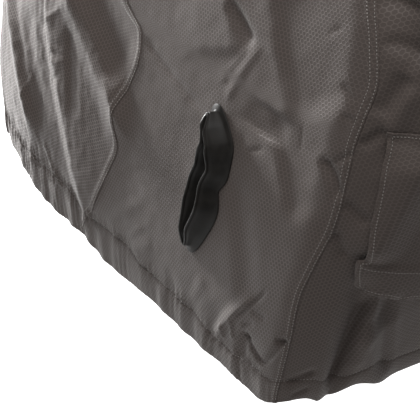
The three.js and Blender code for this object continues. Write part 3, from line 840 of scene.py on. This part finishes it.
def make_flap(material):
    """The flap, turned down along its edges, with its hemmed lower band."""
    across, down = np.meshgrid(flap_shares(**FLAP_COLUMNS), flap_shares(**FLAP_ROWS))
    along, rise, off = flap_place(across, down)
    for edge in (np.s_[0, :], np.s_[-1, :], np.s_[:, 0], np.s_[:, -1]):
        off[edge] -= FLAP_THICK
    off[0] -= FLAP_SUNK
    points = off_cover(along, rise, off)[::-1]
    return add_cloth("flap", along[::-1], points, grid_faces(*along.shape), material, grain=90)


# Lines of stitches: how closely they are traced, where they stop, and the thread's size along a stitch.
SEAM_TRACE = 1.5
ROUND_TRACE = 2.0
SEAM_STITCH_END = 4
FLAP_STITCH_INSET = 0.02
FLAP_STITCH_END = 0.015
FLAP_STITCH_TRACE = 160
FLAP_BAND_STITCH = 0.03
STITCH_SIDES = 5
STITCH_SIZES = table("share size", (0.0, 0.25), (0.18, 1.0), (0.82, 1.0), (1.0, 0.25))


class StitchRows:
    """Collects the stitches of many rows into one mesh."""

    def __init__(self, settings):
        self.settings = settings
        self.points = []
        self.faces = []

    def add_row(self, centres, normals):
        """Stitches along a line of closely spaced points."""
        pitch = self.settings.pitch / MM
        length = self.settings.length / MM
        radius = self.settings.thickness / MM / 2
        steps = np.linalg.norm(np.diff(centres, axis=0), axis=-1)
        travel = np.concatenate(([0], np.cumsum(steps)))
        starts = np.arange(pitch / 2, travel[-1] - length, pitch)

        def along_line(values, at):
            return np.stack([np.interp(at, travel, values[:, k]) for k in range(3)], -1)

        run = along_line(centres, starts + length) - along_line(centres, starts)
        run /= np.linalg.norm(run, axis=-1, keepdims=True)
        out = along_line(normals, starts + length / 2)
        aside = np.cross(run, out)
        aside /= np.linalg.norm(aside, axis=-1, keepdims=True)
        turns = 2 * np.pi * np.arange(STITCH_SIDES) / STITCH_SIDES
        rings = []
        for row in STITCH_SIZES:
            thick = radius * row.size
            middle = along_line(centres, starts + row.share * length) - out * (radius - thick)
            ring = [middle + thick * (np.cos(turn) * aside + np.sin(turn) * out) for turn in turns]
            rings.append(np.stack(ring, 1))
        faces = grid_faces(len(rings), STITCH_SIDES, ring=True)
        base = sum(len(points) for points in self.points)
        shifts = base + len(rings) * STITCH_SIDES * np.arange(len(starts))
        self.points.append(np.stack(rings, 1).reshape(-1, 3))
        self.faces.append((faces[None] + shifts[:, None, None]).reshape(-1, 4))

    def finish(self, name, material):
        """The rows as one piece."""
        return add_piece(name, np.concatenate(self.points), np.concatenate(self.faces), material)


def stitch_line(rows, along, rise, lift):
    """A row of stitches through places on the cloth, at their lift off it."""
    rows.add_row(off_cover(along, rise, lift), cover_normal(along, rise))


def stitch_wall_seam(rows, seam, hand):
    """Both stitch lines of a wall seam, on the side that laps over it."""
    rise = np.arange(SEAM_STITCH_END, TOP_SEAM - SEAM_STITCH_END, SEAM_TRACE)
    for line in STITCH_LINES:
        along = SEAMS[seam](rise) + hand * line / seam_slant(SEAMS[seam], rise)
        lift = lap_lift(np.full(rise.shape, line)) + hem_relief(along, rise)
        stitch_line(rows, along, rise, lift)


class NodeBuilder:
    """Short calls for placing and linking shader nodes in one tree."""

    def __init__(self, tree):
        self.tree = tree

    def node(self, kind, inputs=(), **settings):
        made = self.tree.nodes.new(kind)
        for name, value in settings.items():
            setattr(made, name, value)
        self.fill(made, inputs)
        return made

    def fill(self, node, inputs):
        for key, value in dict(inputs).items():
            self.feed(node.inputs[key], value)

    def feed(self, socket, value):
        if isinstance(value, bpy.types.NodeSocket):
            self.tree.links.new(value, socket)
        else:
            socket.default_value = value

    def math(self, operation, *values):
        return self.node("ShaderNodeMath", enumerate(values), operation=operation).outputs[0]

    def vector(self, operation, *values):
        made = self.node("ShaderNodeVectorMath", enumerate(values), operation=operation)
        return made.outputs["Value"] if operation == "DOT_PRODUCT" else made.outputs[0]

    def ramp(self, value, low, high, to_low=0.0, to_high=1.0):
        inputs = {"Value": value, "From Min": low, "From Max": high, "To Min": to_low, "To Max": to_high}
        return self.node("ShaderNodeMapRange", inputs, interpolation_type="SMOOTHSTEP").outputs["Result"]

    def mix(self, share, a, b):
        inputs = {0: share, 6: a, 7: b}
        return self.node("ShaderNodeMix", inputs, data_type="RGBA").outputs[2]

    def noise(self, scale, detail):
        place = self.node("ShaderNodeTexCoord").outputs["Object"]
        inputs = {"Vector": place, "Scale": scale, "Detail": detail}
        return self.node("ShaderNodeTexNoise", inputs).outputs["Fac"]

    def bump(self, height, strength, distance):
        inputs = {"Height": height, "Strength": strength, "Distance": distance}
        return self.node("ShaderNodeBump", inputs).outputs[0]

    def blotches(self, size):
        return self.node("ShaderNodeGroup", {"Size": size}, node_tree=blotch_group()).outputs["Share"]


# Finishes. Tones are shares of a finish's mean colour, and sizes are in metres.
HEX = 3**0.5
WEAVE_OUTLINE = (0.33, 0.47)
WEAVE_YARNS = 5
YARN_RELIEF = 0.2
WEAVE_BUMP = 0.28
# The honeycomb weave is a real pattern. Its outlines are painted lighter as the yarn's sheen, and its
# sunk cells darker as the shade in them.
SHADED_CELL_TONE = 0.92
SHEEN_OUTLINE_TONE = 1.3
WORN_TONE = 1.25
WORN_SHARE = 0.16
CLOTH_BLOTCH = 0.12
CLOTH_ROUGHNESS = (0.8, 0.5)
VINYL_TONE = 1.5
VINYL_BLOTCH = 0.012
VINYL_DULLER = 0.12
VINYL_GRAIN = {"strength": 0.12, "distance": 0.0006}
THREAD_TONES = (0.7, 1.3)
FLOOR_TONE = 1.02
FLOOR_BLOTCH = 1.5
BLOTCH_EDGES = (0.3, 0.7)
WHITE = (1.0, 1.0, 1.0, 1.0)


def shader_group(name, inputs, outputs):
    """A new node group with its sockets: itself, a builder, the sockets it takes and its output node."""
    group = bpy.data.node_groups.new(name, "ShaderNodeTree")
    for way, sockets in (("INPUT", inputs), ("OUTPUT", outputs)):
        for socket, kind in sockets.items():
            group.interface.new_socket(name=socket, in_out=way, socket_type="NodeSocket" + kind)
    build = NodeBuilder(group)
    return group, build, build.node("NodeGroupInput").outputs, build.node("NodeGroupOutput")


def weave_group():
    """The cloth's honeycomb weave: where its cells' outlines lie, and the relief with its fine yarn."""
    group = bpy.data.node_groups.get("Honeycomb Weave")
    if group:
        return group
    sockets = ({"Place": "Vector", "Cell": "Float"}, {"Outline": "Float", "Relief": "Float"})
    group, build, source, result = shader_group("Honeycomb Weave", *sockets)
    inputs = {0: source["Place"], 3: build.math("DIVIDE", 1.0, source["Cell"])}
    place = build.node("ShaderNodeVectorMath", inputs, operation="SCALE").outputs[0]
    cells = build.vector("DIVIDE", place, (1.0, HEX, 1.0))
    nearest = []
    for shift in (0.0, 0.5):
        moved = build.vector("ADD", cells, (shift, shift, 0.0))
        part = build.vector("SUBTRACT", build.vector("FRACTION", moved), (0.5, 0.5, 0.5))
        part = build.vector("MULTIPLY", part, (1.0, HEX, 0.0))
        nearest.append((part, build.vector("DOT_PRODUCT", part, part)))
    first = build.math("LESS_THAN", nearest[0][1], nearest[1][1])
    inputs = {0: first, 4: nearest[1][0], 5: nearest[0][0]}
    chosen = build.node("ShaderNodeMix", inputs, data_type="VECTOR")
    offset = build.vector("ABSOLUTE", chosen.outputs[1])
    across = build.node("ShaderNodeSeparateXYZ", {0: offset}).outputs[0]
    slant = build.vector("DOT_PRODUCT", offset, (0.5, HEX / 2, 0.0))
    far = build.math("MAXIMUM", across, slant)
    outline = build.ramp(far, *WEAVE_OUTLINE)
    apart = build.node("ShaderNodeSeparateXYZ", {0: place}).outputs
    turns = [build.math("MULTIPLY", apart[k], 2 * np.pi * WEAVE_YARNS) for k in range(2)]
    yarn = build.math("MULTIPLY", *(build.math("SINE", turn) for turn in turns))
    relief = build.math("ADD", outline, build.math("MULTIPLY", yarn, YARN_RELIEF))
    build.fill(result, {"Outline": outline, "Relief": relief})
    return group


def blotch_group():
    """Soft unevenness of a surface, for colour and roughness."""
    group = bpy.data.node_groups.get("Soft Blotches")
    if group:
        return group
    group, build, source, result = shader_group("Soft Blotches", {"Size": "Float"}, {"Share": "Float"})
    noise = build.noise(build.math("DIVIDE", 1.0, source["Size"]), detail=3.0)
    build.fill(result, {"Share": build.ramp(noise, *BLOTCH_EDGES)})
    return group


def new_material(name):
    """A material with a Principled shader, and a builder for its nodes."""
    material = bpy.data.materials.new(name)
    material.use_nodes = True
    build = NodeBuilder(material.node_tree)
    return material, build, material.node_tree.nodes["Principled BSDF"]


def rgba(colour, share=1.0):
    """A colour with its alpha, made lighter or darker by a share."""
    return (*(min(part * share, 1.0) for part in colour), 1.0)


def cloth_material(settings):
    """Woven polyester with a slight sheen: a honeycomb weave whose outlines are painted lighter as the
    yarn's sheen, and whose sunk cells are painted darker as their shade.
    """
    material = bpy.data.materials.get("cover_cloth")
    if material:
        return material
    material, build, shader = new_material("cover_cloth")
    inputs = {"Place": build.node("ShaderNodeUVMap", uv_map="cloth").outputs[0], "Cell": settings.cell}
    weave = build.node("ShaderNodeGroup", inputs, node_tree=weave_group()).outputs
    # Painted sheen on the weave's outlines and painted shade in its sunk cells, mixed by the outline
    # mask.
    sunk, sheen_outline, worn = (rgba(settings.colour, tone) for tone in (SHADED_CELL_TONE, SHEEN_OUTLINE_TONE, WORN_TONE))
    base = build.mix(weave["Outline"], sunk, sheen_outline)
    wear = build.math("MULTIPLY", build.blotches(CLOTH_BLOTCH), WORN_SHARE)
    finish = {
        "Base Color": build.mix(wear, base, worn),
        "Roughness": build.ramp(weave["Relief"], -YARN_RELIEF, 1 + YARN_RELIEF, *CLOTH_ROUGHNESS),
        "Normal": build.bump(weave["Relief"], WEAVE_BUMP, settings.relief),
        "Sheen Weight": settings.sheen,
        "Sheen Roughness": 0.4,
        "Specular IOR Level": 0.2,
    }
    build.fill(shader, finish)
    return material


def vinyl_material(settings):
    """Black vinyl with a soft gloss and a fine grain."""
    material, build, shader = new_material("port_vinyl")
    share = build.blotches(VINYL_BLOTCH)
    finish = {
        "Base Color": build.mix(share, rgba(settings.colour), rgba(settings.colour, VINYL_TONE)),
        "Roughness": build.ramp(share, 0.0, 1.0, settings.gloss, settings.gloss + VINYL_DULLER),
        "Normal": build.bump(build.noise(scale=900.0, detail=2.0), **VINYL_GRAIN),
        "Specular IOR Level": 0.1,
    }
    build.fill(shader, finish)
    return material


def thread_material(settings):
    """Polyester thread, twisted across its length."""
    material, build, shader = new_material("seam_thread")
    low, high = (rgba(settings.colour, tone) for tone in THREAD_TONES)
    fibre = build.mix(build.noise(scale=1400.0, detail=1.0), low, high)
    build.fill(shader, {"Base Color": fibre, "Roughness": 0.55})
    return material


def floor_material(settings):
    """A pale painted studio floor."""
    material, build, shader = new_material("studio_floor")
    tones = (rgba(settings.floor), rgba(settings.floor, FLOOR_TONE))
    finish = {
        "Base Color": build.mix(build.blotches(FLOOR_BLOTCH), *tones),
        "Roughness": 0.9,
        "Emission Color": WHITE,
        "Emission Strength": settings.floor_glow,
    }
    build.fill(shader, finish)
    return material


def colour_setting(name, description, default):
    """A colour, shown as a swatch."""
    return FloatVectorProperty(
        name=name, description=description, default=default, subtype="COLOR", size=3, min=0, max=1
    )


def number_setting(name, description, default, **kind):
    """A number, with its unit or its subtype."""
    return FloatProperty(name=name, description=description, default=default, **kind)


class ClothSettings(PropertyGroup):
    """The cover's cloth."""

    colour: colour_setting("Colour", "Mean colour of the cloth", (0.067, 0.0535, 0.0475))
    cell: number_setting("Weave cell", "Width of a honeycomb cell", 0.0046, unit="LENGTH")
    relief: number_setting("Weave relief", "Depth of the sunk cells", 0.0007, unit="LENGTH")
    sheen: number_setting("Sheen", "Weight of the sheen", 0.1, subtype="FACTOR")


class VinylSettings(PropertyGroup):
    """The lock port's vinyl."""

    colour: colour_setting("Colour", "Colour of the vinyl", (0.012, 0.011, 0.01))
    gloss: number_setting("Roughness", "Roughness of its smoothest places", 0.45, subtype="FACTOR")


class StitchSettings(PropertyGroup):
    """The thread of seams and hems."""

    colour: colour_setting("Colour", "Colour of the thread", (0.19, 0.172, 0.158))
    pitch: number_setting("Pitch", "From one stitch to the next", 0.0035, unit="LENGTH")
    length: number_setting("Length", "Length of a stitch", 0.0023, unit="LENGTH")
    thickness: number_setting("Thickness", "Thickness of the thread", 0.0011, unit="LENGTH")


class StageSettings(PropertyGroup):
    """Floor, lights and camera."""

    floor: colour_setting("Floor", "Colour of the floor", (0.52, 0.52, 0.52))
    floor_drop: number_setting("Floor drop", "From the hem down to the floor", 1.6, unit="LENGTH")
    floor_glow: number_setting("Floor glow", "Light that the floor gives off", 0.05)
    key_power: number_setting("Key light", "Power of the light beside the cover", 5200.0)
    top_power: number_setting("Top light", "Power of the light above", 130.0)
    sky: number_setting("Room light", "Strength of the light all round", 0.12)


class CoverSettings(PropertyGroup):
    """All settings of the cover."""

    cloth: PointerProperty(type=ClothSettings)
    vinyl: PointerProperty(type=VinylSettings)
    stitch: PointerProperty(type=StitchSettings)
    stage: PointerProperty(type=StageSettings)


def declare(piece, node):
    """Hides the solid of the node that a piece of cloth stands for."""
    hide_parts(node)


class COVER_OT_drape_walls(Operator):
    """Drape the wall panels, from the front end round to the rear."""

    bl_idname = "cover.drape_walls"
    bl_label = "Drape Wall Panels"

    def execute(self, context):
        material = cloth_material(context.scene.motorcycle_cover.cloth)
        for name in WALLS:
            declare(make_wall(name, material), name)
        return {"FINISHED"}


class COVER_OT_drape_top(Operator):
    """Drape the top panel from handlebars to tail."""

    bl_idname = "cover.drape_top"
    bl_label = "Drape Top Panel"

    def execute(self, context):
        material = cloth_material(context.scene.motorcycle_cover.cloth)
        declare(make_top(material), "top_panel")
        return {"FINISHED"}


class COVER_OT_fit_port(Operator):
    """Fit the vinyl lock port round its slit."""

    bl_idname = "cover.fit_port"
    bl_label = "Fit Lock Port"

    def execute(self, context):
        piece = make_port(vinyl_material(context.scene.motorcycle_cover.vinyl))
        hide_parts("lock_port")
        return {"FINISHED"}


class COVER_OT_lay_flap(Operator):
    """Lay the flap on the left side panel."""

    bl_idname = "cover.lay_flap"
    bl_label = "Lay Flap"

    def execute(self, context):
        material = cloth_material(context.scene.motorcycle_cover.cloth)
        declare(make_flap(material), "flap")
        return {"FINISHED"}


class COVER_OT_sew(Operator):
    """Sew the seams, the hem's channel and the flap."""

    bl_idname = "cover.sew"
    bl_label = "Sew Seams"

    def execute(self, context):
        settings = context.scene.motorcycle_cover.stitch
        thread = thread_material(settings)
        walls, rounds, flap = (StitchRows(settings) for _ in range(3))
        for wall in WALLS.values():
            for seam, lap, hand in zip(wall["seams"], wall["laps"], (1, -1)):
                if lap:
                    stitch_wall_seam(walls, seam, hand)
        along = np.arange(0, ROUND, ROUND_TRACE)
        for line in STITCH_LINES:
            off = np.full(along.shape, line)
            stitch_line(rounds, along, TOP_SEAM + off, lap_lift(off))
        rise = curve(CHANNEL, "along", "rise", wrapped(along))
        stitch_line(rounds, along, rise, hem_relief(along, rise))
        share = np.linspace(FLAP_STITCH_END, 1 - FLAP_STITCH_END, FLAP_STITCH_TRACE)
        lines = (FLAP_STITCH_INSET, 1 - FLAP_STITCH_INSET, FLAP_BAND + FLAP_BAND_STITCH)
        near, far, band = (np.full(share.shape, line) for line in lines)
        for across, down in ((near, share), (far, share), (share, near), (share, band), (share, far)):
            stitch_line(flap, *flap_place(across, down))
        for rows, name in ((walls, "seam_stitches"), (rounds, "hem_stitches"), (flap, "flap_stitches")):
            rows.finish(name, thread)
        return {"FINISHED"}


# The stage: angles in degrees, lens and sensor in millimetres, and the rest in metres.
CAMERA_AZIMUTH = -29
CAMERA_ELEVATION = 31
CAMERA_PLACE = (-2.2368, -1.83016, 0.4442)
CAMERA_LENS = 176.2
CAMERA_SENSOR = 36
CAMERA_CLIP = 0.05
FLOOR_SIZE = 30
LIGHTS = table(
    "name place aim size power",
    ("key", (-1.38, 9.6, 1.75), (-1.2, 0.0, -0.5), 2.0, "key_power"),
    ("top", (-1.6, -0.6, 2.6), (-1.1, -0.2, -0.5), 2.4, "top_power"),
)


def add_light(row, stage):
    """A soft square light that faces its aim."""
    light = bpy.data.lights.new(row.name, "AREA")
    light.size = row.size
    light.energy = getattr(stage, row.power)
    lamp = add_object(row.name, light)
    lamp.location = row.place
    facing = Vector(row.aim) - Vector(row.place)
    lamp.rotation_euler = facing.to_track_quat("-Z", "Y").to_euler()


class COVER_OT_set_stage(Operator):
    """Set the floor, the lights and the camera."""

    bl_idname = "cover.set_stage"
    bl_label = "Set Stage"

    def execute(self, context):
        stage = context.scene.motorcycle_cover.stage
        low = -ORIGIN[2] * MM - stage.floor_drop
        half = FLOOR_SIZE / 2
        mesh = bpy.data.meshes.new("floor")
        corners = [(-half, -half, low), (half, -half, low), (half, half, low), (-half, half, low)]
        mesh.from_pydata(corners, [], [(0, 1, 2, 3)])
        mesh.materials.append(floor_material(stage))
        floor = add_object("floor", mesh)
        for row in LIGHTS:
            add_light(row, stage)
        world = bpy.data.worlds.new("studio")
        world.use_nodes = True
        background = world.node_tree.nodes["Background"]
        background.inputs["Color"].default_value = WHITE
        background.inputs["Strength"].default_value = stage.sky
        context.scene.world = world
        context.scene.view_settings.view_transform = "Standard"
        turn, tilt = np.radians((CAMERA_AZIMUTH, CAMERA_ELEVATION))
        back = Vector((np.sin(turn) * np.cos(tilt), -np.cos(turn) * np.cos(tilt), np.sin(tilt)))
        right = Vector((np.cos(turn), np.sin(turn), 0))
        up = back.cross(right)
        camera = bpy.data.cameras.new("camera")
        camera.lens = CAMERA_LENS
        camera.sensor_width = CAMERA_SENSOR
        camera.clip_start = CAMERA_CLIP
        eye = add_object("camera", camera)
        facing = Matrix((right, up, back)).transposed().to_4x4()
        eye.matrix_world = Matrix.Translation(CAMERA_PLACE) @ facing
        context.scene.camera = eye
        return {"FINISHED"}


STEPS = (
    COVER_OT_set_stage,
    COVER_OT_drape_walls,
    COVER_OT_drape_top,
    COVER_OT_fit_port,
    COVER_OT_lay_flap,
    COVER_OT_sew,
)


class COVER_PT_panel(Panel):
    """Steps and settings of the motorcycle cover."""

    bl_idname = "COVER_PT_panel"
    bl_label = "Motorcycle Cover"
    bl_space_type = "VIEW_3D"
    bl_region_type = "UI"
    bl_category = "Cover"

    def draw(self, context):
        settings = context.scene.motorcycle_cover
        for step in STEPS:
            self.layout.operator(step.bl_idname)
        for group in (settings.cloth, settings.vinyl, settings.stitch, settings.stage):
            box = self.layout.box()
            for name in group.bl_rna.properties.keys():
                if name not in ("rna_type", "name"):
                    box.prop(group, name)


CLASSES = (
    ClothSettings,
    VinylSettings,
    StitchSettings,
    StageSettings,
    CoverSettings,
    *STEPS,
    COVER_PT_panel,
)


def register():
    for cls in CLASSES:
        bpy.utils.register_class(cls)
    Scene.motorcycle_cover = PointerProperty(type=CoverSettings)


def unregister():
    del Scene.motorcycle_cover
    for cls in reversed(CLASSES):
        bpy.utils.unregister_class(cls)


def main():
    register()
    for step in STEPS:
        category, name = step.bl_idname.split(".")
        getattr(getattr(bpy.ops, category), name)()


if __name__ == "__main__":
    main()
